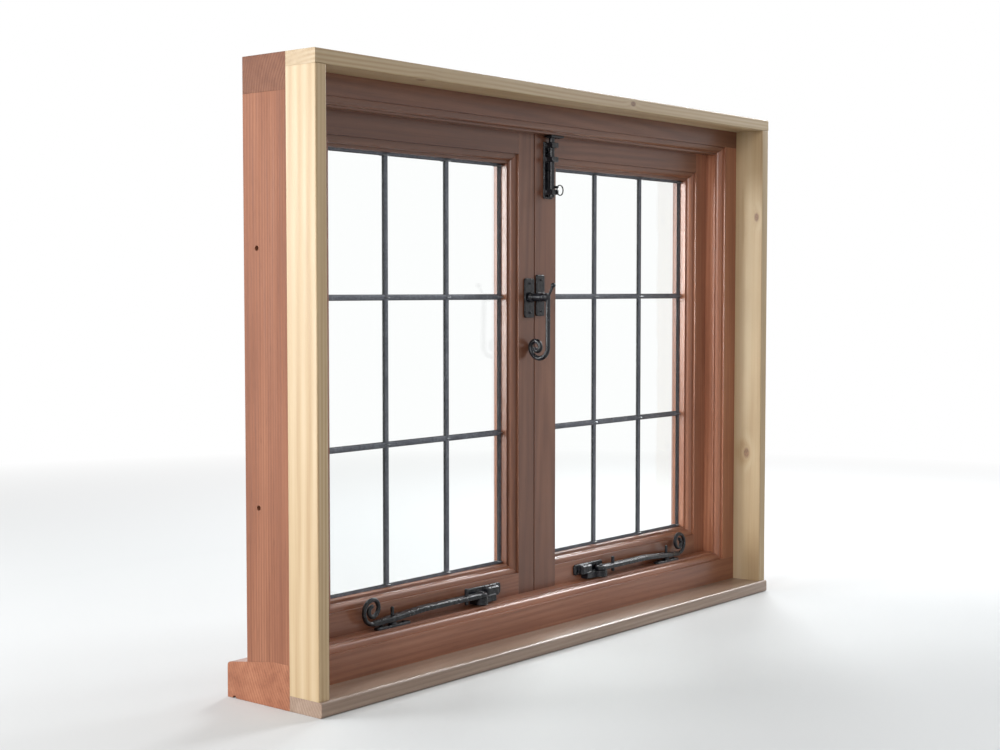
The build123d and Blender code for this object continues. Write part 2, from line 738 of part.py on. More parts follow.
stay_y = casement_room - stay_stand_off
fall_slope = stay_fall / (stay_scroll_x - stay_fall_start)
fall_at_pin = fall_slope * (stay_pin_x - stay_fall_start)
rest_top = lip_bottom + stay_rest_thickness
stay_height = rest_top + stay_boss_height + stay_hole_clearance + fall_at_pin
stay_top = stay_height + stay_thickness
stay_middle = stay_height + stay_thickness / 2
block_top = stay_top + block_rise
cheek_bottom = stay_height - cheek_gap - cheek_thickness
for side, hand in ((-1, "left"), (1, "right")):
    with BuildPart() as bracket:
        plate_x = side * (bracket_start + bracket_end) / 2
        with BuildSketch(room_plane(plate_x, stay_middle + bracket_rise)):
            RectangleRounded(bracket_end - bracket_start, bracket_height, bracket_corner)
        extrude(amount=iron_plate)
        chamfer(bracket.faces().sort_by(Axis.Y)[0].edges(), iron_bevel)
        with BuildSketch(Plane.XY.offset(block_top - block_height)) as block:
            with Locations((side * (block_start + block_end) / 2, casement_room)):
                Rectangle(
                    block_end - block_start,
                    block_depth,
                    align=(Align.CENTER, Align.MAX),
                )
            fillet(block.vertices().group_by(Axis.Y)[0], block_corner)
        extrude(amount=block_height)
        block_face = bracket.faces().filter_by_position(Axis.Z, block_top - 0.1, block_top + 0.1)
        chamfer(block_face.edges().sort_by(Axis.Y)[:-1], block_edge)
        with BuildSketch(Plane.XY.offset(cheek_bottom)):
            with Locations((side * block_end, casement_room)):
                Rectangle(
                    2 * (stay_pivot_x - block_end),
                    stay_stand_off,
                    align=(Align.CENTER, Align.MAX),
                )
            with Locations((side * stay_pivot_x, casement_room)):
                Rectangle(2 * cheek_radius, stay_stand_off, align=(Align.CENTER, Align.MAX))
            with Locations((side * stay_pivot_x, stay_y)):
                Circle(cheek_radius)
        extrude(amount=cheek_thickness)
        with Locations((side * stay_pivot_x, stay_y, cheek_bottom)):
            Cylinder(
                stay_pivot_radius,
                stay_top - cheek_bottom,
                align=(Align.CENTER, Align.CENTER, Align.MIN),
            )
        with Locations((side * stay_pivot_x, stay_y, stay_top)):
            Cone(
                rivet_radius,
                rivet_radius / 2,
                rivet_rise,
                align=(Align.CENTER, Align.CENTER, Align.MIN),
            )
    pieces[f"{hand}_stay_bracket"] = bracket

    with BuildPart() as arm:
        with BuildSketch(Plane.XZ):
            with BuildLine():
                Polyline(
                    (side * (stay_pivot_x - stay_hub_radius), stay_height),
                    (side * stay_fall_start, stay_height),
                    (side * stay_scroll_x, stay_height - stay_fall),
                    (side * stay_scroll_x, stay_top - stay_fall),
                    (side * stay_fall_start, stay_top),
                    (side * (stay_pivot_x - stay_hub_radius), stay_top),
                    close=True,
                )
            make_face()
        extrude(amount=full_depth, both=True)
        with BuildSketch(Plane.XY.offset(stay_height - stay_fall)):
            with BuildLine():
                half = stay_width / 2
                tail = stay_thickness / 2
                Polyline(
                    (side * stay_pivot_x, stay_y + half),
                    (side * stay_taper_start, stay_y + half),
                    (side * stay_scroll_x, stay_y + tail),
                    (side * stay_scroll_x, stay_y - tail),
                    (side * stay_taper_start, stay_y - half),
                    (side * stay_pivot_x, stay_y - half),
                    close=True,
                )
            make_face()
            with Locations((side * stay_pivot_x, stay_y)):
                Circle(stay_hub_radius)
                Circle(stay_pivot_radius, mode=Mode.SUBTRACT)
            with Locations((side * stay_pin_x, stay_y)):
                Circle(stay_pin_radius + stay_hole_clearance, mode=Mode.SUBTRACT)
        extrude(amount=stay_fall + stay_thickness, mode=Mode.INTERSECT)
        upward = [face for face in arm.faces() if face.normal_at().Z > 0.9]
        rim = [edge for face in upward for edge in face.outer_wire().edges()]
        long_edges = [edge for edge in rim if edge.length > stay_width + 2 * stay_edge]
        chamfer(long_edges, stay_edge)
        with BuildSketch(Plane.XY.offset(stay_height - stay_stud_drop)):
            with Locations((side * stay_stud_x, stay_y)):
                Circle(stay_stud_radius)
        extrude(amount=stay_stud_drop + stay_thickness + stay_stud_rise)
        stud_rims = arm.edges().filter_by(GeomType.CIRCLE).sort_by(Axis.Z)
        fillet([stud_rims[0], stud_rims[-1]], iron_bevel)
        with BuildLine(Plane((0, stay_y, 0), (side, 0, 0), (0, -side, 0))) as scroll_path:
            scroll_start = (stay_scroll_x, stay_middle - stay_fall)
            shank = Line((stay_scroll_x - 1, scroll_start[1] + fall_slope), scroll_start)
            draw_scroll(shank, stay_scroll_radii)
        with BuildSketch(Plane(scroll_path.line @ 0, z_dir=scroll_path.line % 0)):
            Circle(stay_tail_radius)
        sweep(path=scroll_path.wire())
    pieces[f"{hand}_stay_arm"] = arm

    with BuildPart() as pins:
        with BuildSketch(Plane.XY.offset(lip_bottom)):
            with Locations((side * stay_pin_x, stay_y)):
                RectangleRounded(stay_rest_length, stay_rest_width, bracket_corner)
        extrude(amount=stay_rest_thickness)
        chamfer(pins.faces().sort_by(Axis.Z)[-1].edges(), iron_bevel)
        with Locations((side * stay_pin_x, stay_y, rest_top)):
            Cone(
                stay_rest_radius,
                stay_rest_top_radius,
                stay_boss_height,
                align=(Align.CENTER, Align.CENTER, Align.MIN),
            )
        with BuildSketch(Plane.XY.offset(lip_bottom)):
            with Locations((side * stay_pin_x, stay_y)):
                Circle(stay_pin_radius)
        extrude(amount=stay_pin_top - lip_bottom)
        fillet(pins.edges().filter_by(GeomType.CIRCLE).sort_by(Axis.Z)[-1], stay_pin_tip)
    pieces[f"{hand}_stay_pins"] = pins

os.makedirs("parts", exist_ok=True)
for name, piece in pieces.items():
    piece.part.label = name
    export_step(piece.part, f"parts/{name}.step")
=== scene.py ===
import math

import bmesh
import bpy
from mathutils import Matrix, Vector


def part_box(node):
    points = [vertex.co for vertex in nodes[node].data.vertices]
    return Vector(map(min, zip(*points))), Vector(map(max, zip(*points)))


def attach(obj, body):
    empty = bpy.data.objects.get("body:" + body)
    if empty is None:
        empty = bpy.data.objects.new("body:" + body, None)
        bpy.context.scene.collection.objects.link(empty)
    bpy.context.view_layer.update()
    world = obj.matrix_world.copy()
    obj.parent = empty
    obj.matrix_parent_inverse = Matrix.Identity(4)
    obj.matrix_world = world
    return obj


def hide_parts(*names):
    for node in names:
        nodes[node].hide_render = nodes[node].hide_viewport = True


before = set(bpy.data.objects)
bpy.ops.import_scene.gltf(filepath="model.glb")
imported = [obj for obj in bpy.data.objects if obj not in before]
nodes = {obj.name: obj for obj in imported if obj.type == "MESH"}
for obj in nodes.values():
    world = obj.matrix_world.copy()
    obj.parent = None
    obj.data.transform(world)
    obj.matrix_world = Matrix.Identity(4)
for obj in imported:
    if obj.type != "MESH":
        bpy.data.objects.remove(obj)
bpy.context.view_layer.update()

scene = bpy.context.scene
scene.view_settings.view_transform = "Standard"
mm = 0.001
print("frame loaded:", len(nodes), "nodes")


# short ways to add nodes to a shader or a geometry tree

def addNode(tree, kind, inputs=None, **settings):
    node = tree.nodes.new(kind)
    for key, value in settings.items():
        setattr(node, key, value)
    for key, value in (inputs or {}).items():
        if isinstance(value, bpy.types.NodeSocket):
            tree.links.new(value, node.inputs[key])
        else:
            node.inputs[key].default_value = value
    return node


def calc(tree, operation, *values):
    return addNode(tree, "ShaderNodeMath", dict(enumerate(values)), operation=operation).outputs[0]


def calcVector(tree, operation, *values):
    node = addNode(tree, "ShaderNodeVectorMath", dict(enumerate(values)), operation=operation)
    return node.outputs[0]


def scaled(tree, vector, factor):
    node = addNode(tree, "ShaderNodeVectorMath", {0: vector, "Scale": factor}, operation="SCALE")
    return node.outputs[0]


def lengthOf(tree, vector):
    return addNode(tree, "ShaderNodeVectorMath", {0: vector}, operation="LENGTH").outputs["Value"]


def joined(tree, x=0.0, y=0.0, z=0.0):
    return addNode(tree, "ShaderNodeCombineXYZ", {0: x, 1: y, 2: z}).outputs[0]


def blendColour(tree, factor, first, second):
    node = addNode(tree, "ShaderNodeMix", {0: factor, 6: first, 7: second}, data_type="RGBA")
    return node.outputs[2]


def spread(tree, value, low, high, start=0.0, end=1.0):
    inputs = {"Value": value, "From Min": low, "From Max": high, "To Min": start, "To Max": end}
    return addNode(tree, "ShaderNodeMapRange", inputs, clamp=True).outputs[0]


def ramp(tree, factor, colours):
    node = addNode(tree, "ShaderNodeValToRGB", {"Fac": factor})
    stops = node.color_ramp.elements
    while len(stops) < len(colours):
        stops.new(0.5)
    for stop, (where, colour) in zip(stops, colours):
        stop.position = where
        stop.color = (*colour, 1.0)
    return node.outputs["Color"]


def cloud(tree, vector, scale=1.0, detail=2.0, roughness=0.5):
    inputs = {"Vector": vector, "Scale": scale, "Detail": detail, "Roughness": roughness}
    return addNode(tree, "ShaderNodeTexNoise", inputs).outputs["Fac"]


def stretched(tree, vector, across, along):
    return calcVector(tree, "MULTIPLY", vector, (across, across, along))


def bumped(tree, height, distance, strength=0.5, **more):
    inputs = {"Height": height, "Distance": distance, "Strength": strength, **more}
    return addNode(tree, "ShaderNodeBump", inputs).outputs["Normal"]


def newFinish(name):
    finish = bpy.data.materials.new(name)
    finish.use_nodes = True
    return finish, finish.node_tree, finish.node_tree.nodes["Principled BSDF"]


def objectPlace(tree):
    return addNode(tree, "ShaderNodeTexCoord").outputs["Object"]


# timber: growth rings round the log's heart, fibres and streaks along the grain, pores on top
hardwoodLook = {
    "dark": (0.125, 0.041, 0.022), "mid": (0.262, 0.101, 0.053), "light": (0.370, 0.162, 0.090),
    "ringGap": 4.2 * mm, "ringDepth": 0.08, "wander": 16 * mm, "heart": (0.17, 0.21, 0.0),
    "fibre": 0.30, "streak": 0.38, "blotch": 0.50,
    "pores": 0.26, "poreColour": (0.055, 0.021, 0.014),
    "gloss": (0.30, 0.44), "specular": 0.24, "lacquer": 0.5, "arris": 1.0 * mm,
}
pineLook = {
    "dark": (0.430, 0.262, 0.122), "mid": (0.585, 0.425, 0.243), "light": (0.685, 0.535, 0.345),
    "ringGap": 5.5 * mm, "ringDepth": 0.13, "wander": 13 * mm, "heart": (0.06, 0.11, 0.0),
    "fibre": 0.35, "streak": 0.40, "blotch": 0.25,
    "pores": 0.0, "poreColour": (0.2, 0.1, 0.05),
    "gloss": (0.40, 0.54), "specular": 0.4, "lacquer": 0.0, "arris": 0.9 * mm,
}
oakLook = {
    "dark": (0.180, 0.115, 0.078), "mid": (0.305, 0.210, 0.152), "light": (0.415, 0.305, 0.232),
    "ringGap": 4.0 * mm, "ringDepth": 0.09, "wander": 12 * mm, "heart": (0.02, 0.09, 0.0),
    "fibre": 0.45, "streak": 0.50, "blotch": 0.35,
    "pores": 0.30, "poreColour": (0.16, 0.10, 0.06),
    "gloss": (0.30, 0.42), "specular": 0.4, "lacquer": 0.5, "arris": 1.0 * mm,
}
grainTurn = {"x": (0.0, math.radians(-90), 0.0), "z": (0.0, 0.0, 0.0)}
midNoise = (0.3, 0.7)    # most values of a noise lie between these
# how fine each layer is, per metre across and along the grain
grainScale = {
    "lean": (11.0, 1.3), "fibre": (420.0, 7.0), "streak": (95.0, 2.2),
    "blotch": (22.0, 3.4), "pores": (1350.0, 42.0),
}
ringLook = {
    "taper": 0.03,                      # how much the rings taper along the log, which draws arches
    "fade": (0.35, 0.65, 0.15, 1.45),   # where a blotch weakens or strengthens them, and how far
    "stops": (0.18, 0.5, 0.82),         # where the dark, mid and light tones lie
}
poreEdge = (0.60, 0.72)
# a knot's outline and its pull on the grain around it are in parts of its radius
knotLook = {
    "squash": 0.6, "edge": (0.75, 1.25), "reach": (0.5, 5.0), "push": 1.3,
    "strength": 0.85, "grain": (420.0, 3.0),
    "tones": [(0.3, (0.090, 0.036, 0.015)), (0.7, (0.24, 0.110, 0.050))],
}
surface = {"relief": 0.10 * mm, "reliefStrength": 0.3, "coatRough": 0.24}


def knotsIn(tree, here, grain, knots):
    squash = knotLook["squash"]
    lengthways = (squash, 1.0, 1.0) if grain == "x" else (1.0, 1.0, squash)
    marks, push = 0.0, 0.0
    for x, y, z, radius in knots:
        gap = calcVector(tree, "SUBTRACT", here, (x, y, z))
        away = lengthOf(tree, calcVector(tree, "MULTIPLY", gap, lengthways))
        inner, outer = (radius * part for part in knotLook["edge"])
        marks = calc(tree, "MAXIMUM", marks, spread(tree, away, inner, outer, 1.0, 0.0))
        near, far = (radius * part for part in knotLook["reach"])
        pull = calc(tree, "POWER", spread(tree, away, near, far, 1.0, 0.0), 2.0)
        push = calc(tree, "MULTIPLY_ADD", pull, radius * knotLook["push"], push)
    return marks, push


# 1 on the faces in sight, 0 on the frame's outer sides and top, which stay bare
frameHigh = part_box("frame_head")[1]
bareFace = {"from": 0.997, "to": 0.999, "rougher": 0.25}


def shownPart(tree, here):
    span = (frameHigh.x, 1.0, frameHigh.z)
    reach = calcVector(tree, "DIVIDE", calcVector(tree, "ABSOLUTE", here), span)
    parts = addNode(tree, "ShaderNodeSeparateXYZ", {0: reach}).outputs
    edge = calc(tree, "MAXIMUM", parts["X"], parts["Z"])
    return spread(tree, edge, bareFace["from"], bareFace["to"], 1.0, 0.0)


def woodFinish(name, look, grain, place, toneAndPaintedLight=1.0, knots=()):
    finish, tree, shader = newFinish(name)
    here = objectPlace(tree)
    turned = addNode(tree, "ShaderNodeMapping", {
        "Vector": here, "Rotation": grainTurn[grain], "Location": place}).outputs[0]
    marks, push = knotsIn(tree, here, grain, knots)
    bent = calcVector(tree, "ADD", turned, scaled(tree, (1.0, 1.0, 0.0), push)) if knots else turned

    lean = calc(tree, "SUBTRACT", cloud(tree, stretched(tree, bent, *grainScale["lean"])), 0.5)
    section = calcVector(tree, "MULTIPLY_ADD", bent, (1.0, 1.0, ringLook["taper"]), look["heart"])
    radius = calc(tree, "MULTIPLY_ADD", lean, look["wander"], lengthOf(tree, section))
    waves = calc(tree, "SINE", calc(tree, "MULTIPLY", radius, math.tau / look["ringGap"]))
    fibre = cloud(tree, stretched(tree, bent, *grainScale["fibre"]), detail=4.0, roughness=0.6)
    streak = cloud(tree, stretched(tree, bent, *grainScale["streak"]), detail=3.0)
    blotch = cloud(tree, stretched(tree, turned, *grainScale["blotch"]))
    rings = calc(tree, "MULTIPLY", waves, spread(tree, blotch, *ringLook["fade"]))
    shade = calc(tree, "MULTIPLY_ADD", rings, look["ringDepth"], 0.5)
    for layer, part in ((fibre, "fibre"), (streak, "streak"), (blotch, "blotch")):
        shade = calc(tree, "MULTIPLY_ADD", calc(tree, "SUBTRACT", layer, 0.5), look[part], shade)
    # the tone scales the three colours, so it carries painted light and shade as well as the
    # member's own tone
    tones = [tuple(channel * toneAndPaintedLight for channel in look[part]) for part in ("dark", "mid", "light")]
    colour = ramp(tree, shade, list(zip(ringLook["stops"], tones)))

    height = fibre
    if look["pores"]:
        specks = cloud(tree, stretched(tree, turned, *grainScale["pores"]), detail=1.0)
        pores = spread(tree, specks, *poreEdge)
        amount = calc(tree, "MULTIPLY", pores, look["pores"])
        colour = blendColour(tree, amount, colour, (*look["poreColour"], 1.0))
        height = calc(tree, "SUBTRACT", fibre, pores)
    if knots:
        knotColour = ramp(tree, cloud(tree, here, *knotLook["grain"]), knotLook["tones"])
        amount = calc(tree, "MULTIPLY", marks, knotLook["strength"])
        colour = blendColour(tree, amount, colour, knotColour)
    softArris = addNode(tree, "ShaderNodeBevel", {"Radius": look["arris"]}, samples=4)
    rounded = softArris.outputs["Normal"]
    tree.links.new(colour, shader.inputs["Base Color"])
    sheen = spread(tree, fibre, *midNoise, *look["gloss"])
    relief = bumped(tree, height, surface["relief"], surface["reliefStrength"], Normal=rounded)
    tree.links.new(relief, shader.inputs["Normal"])
    shader.inputs["Specular IOR Level"].default_value = look["specular"]
    if look["lacquer"]:
        shown = shownPart(tree, here)
        bare = calc(tree, "SUBTRACT", 1.0, shown)
        sheen = calc(tree, "MULTIPLY_ADD", bare, bareFace["rougher"], sheen)
        tree.links.new(calc(tree, "MULTIPLY", shown, look["lacquer"]), shader.inputs["Coat Weight"])
        shader.inputs["Coat Roughness"].default_value = surface["coatRough"]
    tree.links.new(sheen, shader.inputs["Roughness"])
    return finish


# each member: its look, grain axis, where its pattern is taken from, and its tone. The tone holds
# the wood's own spread from member to member and also painted light and shade: painted shade
# darkens the head and the top rails, painted light lightens the sill and the right jamb, and
# painted shade darkens the right lining; the meeting stiles and the head lining are set darker as
# well
members = {
    "frame_head": (hardwoodLook, "x", (0.525, -0.10, 0.9), 0.64),
    "frame_sill": (hardwoodLook, "x", (0.11, 0.33, 1.7), 1.18),
    "frame_jamb_left": (hardwoodLook, "z", (0.21, 0.13, 0.9), 0.97),
    "frame_jamb_right": (hardwoodLook, "z", (0.02, 0.27, 2.3), 1.30),
    "left_hanging_stile": (hardwoodLook, "z", (0.07, 0.02, 3.1), 1.0),
    "left_meeting_stile": (hardwoodLook, "z", (-0.118, -0.105, -1.35), 0.62),
    "left_top_rail": (hardwoodLook, "x", (0.485, -0.115, 0.35), 0.58),
    "left_bottom_rail": (hardwoodLook, "x", (0.27, 0.11, 6.1), 1.02),
    "right_hanging_stile": (hardwoodLook, "z", (0.19, 0.05, 7.4), 1.12),
    "right_meeting_stile": (hardwoodLook, "z", (-0.196, -0.115, 0.75), 0.70),
    "right_top_rail": (hardwoodLook, "x", (0.475, -0.12, -1.1), 0.68),
    "right_bottom_rail": (hardwoodLook, "x", (0.09, 0.29, 10.4), 1.03),
    "left_beads": (hardwoodLook, "z", (0.15, 0.31, 11.2), 0.95),
    "right_beads": (hardwoodLook, "z", (0.29, 0.23, 12.6), 0.97),
    "lining_head": (pineLook, "x", (0.02, 0.05, 0.4), 0.72),
    "lining_left": (pineLook, "z", (0.05, 0.11, 1.5), 0.84),
    "lining_right": (pineLook, "z", (0.08, 0.03, 2.6), 0.74),
    "window_board": (oakLook, "x", (0.03, 0.07, 0.8), 1.0),
}
# middle and radius of each knot in the linings
knotsOf = {
    "lining_head": [(-0.31, -0.09, 0.733, 4.5 * mm), (0.12, -0.10, 0.742, 3.5 * mm)],
    "lining_left": [(-0.478, -0.085, 0.522, 4.5 * mm)],
    "lining_right": [(0.478, -0.09, 0.597, 4 * mm), (0.478, -0.075, 0.222, 5 * mm)],
}


def dress(node, finish):
    piece = nodes[node]
    piece.data.materials.clear()
    piece.data.materials.append(finish)


for node, (look, grain, place, toneAndPaintedLight) in members.items():
    dress(node, woodFinish("wood-" + node, look, grain, place, toneAndPaintedLight, knotsOf.get(node, ())))
print("wood finished")


# iron, lead, solder, cement and glass
# each noise (patches, grit, mottle, runs, ripple) has a scale, a detail and maybe a roughness
ironLook = {
    "tones": [(0.3, (0.0032, 0.0034, 0.0052)), (0.72, (0.0076, 0.0080, 0.0114))],
    "patches": (120.0, 3.0), "grit": (700.0, 2.0), "gritDepth": 0.03 * mm,
    "gloss": (0.24, 0.38), "specular": 0.38,
}
leadLook = {
    "tones": [
        (0.25, (0.070, 0.076, 0.092)), (0.55, (0.130, 0.140, 0.164)),
        (0.85, (0.220, 0.228, 0.250))],
    "mottle": (260.0, 4.0, 0.6), "runs": (45.0, 2.0), "runShare": 0.6,
    "depth": 0.12 * mm, "strength": 0.4, "gloss": (0.40, 0.60), "metal": 0.4,
}
solderLook = {
    "tones": [(0.3, (0.140, 0.146, 0.160)), (0.7, (0.270, 0.276, 0.290))],
    "mottle": (420.0, 3.0, 0.55), "depth": 0.1 * mm, "strength": 0.4,
    "gloss": (0.32, 0.46), "metal": 0.6,
}
cementLook = {
    "tones": [(0.3, (0.022, 0.023, 0.026)), (0.7, (0.060, 0.062, 0.066))],
    "grit": (1100.0, 3.0, 0.6), "depth": 0.08 * mm, "rough": 0.8,
}
glassLook = {
    "tint": (0.975, 0.99, 0.985, 1.0), "shadowTint": (0.95, 0.97, 0.96, 1.0), "bend": 1.45,
    "ripple": (16.0, 1.0), "rippleDepth": 1.2 * mm, "rippleStrength": 0.25,
}


def ironFinish():
    finish, tree, shader = newFinish("blackIron")
    here = objectPlace(tree)
    patches = cloud(tree, here, *ironLook["patches"])
    grit = bumped(tree, cloud(tree, here, *ironLook["grit"]), ironLook["gritDepth"])
    tree.links.new(ramp(tree, patches, ironLook["tones"]), shader.inputs["Base Color"])
    rough = spread(tree, patches, *midNoise, *ironLook["gloss"])
    tree.links.new(rough, shader.inputs["Roughness"])
    tree.links.new(grit, shader.inputs["Normal"])
    shader.inputs["Specular IOR Level"].default_value = ironLook["specular"]
    return finish


def leadFinish():
    finish, tree, shader = newFinish("lead")
    here = objectPlace(tree)
    mottle = cloud(tree, here, *leadLook["mottle"])
    runs = calc(tree, "SUBTRACT", cloud(tree, here, *leadLook["runs"]), 0.5)
    mixed = calc(tree, "MULTIPLY_ADD", runs, leadLook["runShare"], mottle)
    tree.links.new(ramp(tree, mixed, leadLook["tones"]), shader.inputs["Base Color"])
    rough = spread(tree, mottle, *midNoise, *leadLook["gloss"])
    relief = bumped(tree, mixed, leadLook["depth"], leadLook["strength"])
    tree.links.new(rough, shader.inputs["Roughness"])
    tree.links.new(relief, shader.inputs["Normal"])
    shader.inputs["Metallic"].default_value = leadLook["metal"]
    return finish


def solderFinish():
    finish, tree, shader = newFinish("solder")
    mottle = cloud(tree, objectPlace(tree), *solderLook["mottle"])
    tree.links.new(ramp(tree, mottle, solderLook["tones"]), shader.inputs["Base Color"])
    rough = spread(tree, mottle, *midNoise, *solderLook["gloss"])
    relief = bumped(tree, mottle, solderLook["depth"], solderLook["strength"])
    tree.links.new(rough, shader.inputs["Roughness"])
    tree.links.new(relief, shader.inputs["Normal"])
    shader.inputs["Metallic"].default_value = solderLook["metal"]
    return finish


def cementFinish():
    finish, tree, shader = newFinish("cement")
    grit = cloud(tree, objectPlace(tree), *cementLook["grit"])
    tree.links.new(ramp(tree, grit, cementLook["tones"]), shader.inputs["Base Color"])
    tree.links.new(bumped(tree, grit, cementLook["depth"]), shader.inputs["Normal"])
    shader.inputs["Roughness"].default_value = cementLook["rough"]
    return finish


def glassFinish():
    finish, tree, shader = newFinish("glass")
    ripple = cloud(tree, objectPlace(tree), *glassLook["ripple"])
    waved = bumped(tree, ripple, glassLook["rippleDepth"], glassLook["rippleStrength"])
    tree.links.new(waved, shader.inputs["Normal"])
    shader.inputs["Base Color"].default_value = glassLook["tint"]
    shader.inputs["Transmission Weight"].default_value = 1.0
    shader.inputs["Roughness"].default_value = 0.0
    shader.inputs["IOR"].default_value = glassLook["bend"]
    # the shadow of the glass is nearly clear, so daylight comes through it
    through = addNode(tree, "ShaderNodeBsdfTransparent", {"Color": glassLook["shadowTint"]})
    shadowRay = addNode(tree, "ShaderNodeLightPath").outputs["Is Shadow Ray"]
    both = addNode(tree, "ShaderNodeMixShader", {
        0: shadowRay, 1: shader.outputs[0], 2: through.outputs[0]})
    tree.links.new(both.outputs[0], tree.nodes["Material Output"].inputs["Surface"])
    return finish


ironwork, leadwork, solder = ironFinish(), leadFinish(), solderFinish()
cement, glazing = cementFinish(), glassFinish()
for side in ("left", "right"):
    dress(side + "_leading", leadwork)
    dress(side + "_glass", glazing)
    for end in ("top", "bottom"):
        dress("hinge_" + side + "_" + end, ironwork)
print("iron, lead and glass finished")


# pieces grown by geometry nodes

def newTree(name, sizes):
    tree = bpy.data.node_groups.new(name, "GeometryNodeTree")
    tree.interface.new_socket("Geometry", in_out="INPUT", socket_type="NodeSocketGeometry")
    for label, value in sizes.items():
        kind = "NodeSocketInt" if isinstance(value, int) else "NodeSocketFloat"
        tree.interface.new_socket(label, in_out="INPUT", socket_type=kind).default_value = value
    tree.interface.new_socket("Geometry", in_out="OUTPUT", socket_type="NodeSocketGeometry")
    return tree, tree.nodes.new("NodeGroupInput").outputs


def endTree(tree, geometry, finish):
    solid = addNode(tree, "GeometryNodeRealizeInstances", {0: geometry})
    painted = addNode(tree, "GeometryNodeSetMaterial", {
        "Geometry": solid.outputs[0], "Material": finish})
    addNode(tree, "NodeGroupOutput", {0: painted.outputs[0]})
    return tree


def named(tree, label, kind):
    node = addNode(tree, "GeometryNodeInputNamedAttribute", {"Name": label}, data_type=kind)
    return node.outputs[0]


def stoodOnPoints(tree, points, shape):
    aligned = addNode(tree, "FunctionNodeAlignRotationToVector", {
        "Vector": named(tree, "facing", "FLOAT_VECTOR")}, axis="Z").outputs[0]
    spin = addNode(tree, "FunctionNodeAxisAngleToRotation", {
        "Axis": (0.0, 0.0, 1.0), "Angle": named(tree, "turn", "FLOAT")}).outputs[0]
    turned = addNode(tree, "FunctionNodeRotateRotation", {
        0: aligned, 1: spin}, rotation_space="LOCAL").outputs[0]
    return addNode(tree, "GeometryNodeInstanceOnPoints", {
        "Points": points, "Instance": shape, "Rotation": turned,
        "Scale": named(tree, "scale", "FLOAT")}).outputs[0]


def newHost(name, mesh):
    host = bpy.data.objects.new(name, mesh)
    scene.collection.objects.link(host)
    return host


def pointHost(points):
    mesh = bpy.data.meshes.new("points")
    mesh.from_pydata([place for place, facing, turn, size in points], [], [])
    facings = mesh.attributes.new("facing", "FLOAT_VECTOR", "POINT").data
    turns = mesh.attributes.new("turn", "FLOAT", "POINT").data
    scales = mesh.attributes.new("scale", "FLOAT", "POINT").data
    for index, (place, facing, turn, size) in enumerate(points):
        facings[index].vector = facing
        turns[index].value = turn
        scales[index].value = size
    return newHost("pointHost", mesh)


def bake(host, name, tree, sizes):
    modifier = host.modifiers.new(tree.name, "NODES")
    modifier.node_group = tree
    for item in tree.interface.items_tree:
        if item.in_out == "INPUT" and item.name in sizes:
            modifier[item.identifier] = sizes[item.name]
    grown = host.evaluated_get(bpy.context.evaluated_depsgraph_get())
    mesh = bpy.data.meshes.new_from_object(grown)
    bpy.data.objects.remove(host)
    mesh.name = name
    mesh.shade_smooth()
    return newHost(name, mesh)


def settle(piece, slot, *stoodFor):
    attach(piece, "root")
    if stoodFor:
        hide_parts(*stoodFor)


# forged ironwork: each node's own shape, skinned afresh, softened and hammered inwards
# node: skin size, size of the hammer marks, their depth
forging = {
    "fastener_plate": (0.45 * mm, 6.5 * mm, 0.26 * mm),
    "fastener_keeper": (0.45 * mm, 6.5 * mm, 0.26 * mm),
    "fastener_handle": (0.40 * mm, 5.0 * mm, 0.15 * mm),
    "bolt_plate": (0.45 * mm, 6.0 * mm, 0.20 * mm),
    "bolt_shoot": (0.32 * mm, 4.5 * mm, 0.10 * mm),
    "bolt_keep": (0.45 * mm, 6.0 * mm, 0.20 * mm),
    "left_stay_bracket": (0.50 * mm, 5.5 * mm, 0.24 * mm),
    "right_stay_bracket": (0.50 * mm, 5.5 * mm, 0.24 * mm),
    "left_stay_arm": (0.55 * mm, 6.0 * mm, 0.20 * mm),
    "right_stay_arm": (0.55 * mm, 6.0 * mm, 0.20 * mm),
    "left_stay_pins": (0.40 * mm, 5.0 * mm, 0.15 * mm),
    "right_stay_pins": (0.40 * mm, 5.0 * mm, 0.15 * mm),
}
forge = {
    "weld": 0.002 * mm, "soften": 0.5, "passes": 3, "firstSeed": 3,
    "blowReach": 0.62, "blowSoftness": 0.35, "seedShift": 0.173,
}


def hammerTree():
    tree, size = newTree("hammerMarks", {
        "Mark Size": 6.0 * mm, "Mark Depth": 0.2 * mm, "Seed": 1})
    shift = calc(tree, "MULTIPLY", size["Seed"], forge["seedShift"])
    here = addNode(tree, "GeometryNodeInputPosition").outputs[0]
    moved = calcVector(tree, "ADD", here, joined(tree, shift, shift, shift))
    blows = addNode(tree, "ShaderNodeTexVoronoi", {
        "Vector": moved, "Scale": calc(tree, "DIVIDE", 1.0, size["Mark Size"]),
        "Smoothness": forge["blowSoftness"]}, feature="SMOOTH_F1").outputs["Distance"]
    dished = calc(tree, "POWER", spread(tree, blows, 0.0, forge["blowReach"]), 2.0)
    hollow = calc(tree, "SUBTRACT", dished, 1.0)
    depth = calc(tree, "MULTIPLY", hollow, size["Mark Depth"])
    facing = addNode(tree, "GeometryNodeInputNormal").outputs[0]
    beaten = addNode(tree, "GeometryNodeSetPosition", {
        "Geometry": size["Geometry"], "Offset": scaled(tree, facing, depth)})
    return endTree(tree, beaten.outputs[0], ironwork)


def weldedCopy(node):
    shape = bmesh.new()
    shape.from_mesh(nodes[node].data)
    bmesh.ops.remove_doubles(shape, verts=shape.verts, dist=forge["weld"])
    mesh = bpy.data.meshes.new("copy-" + node)
    shape.to_mesh(mesh)
    shape.free()
    return mesh


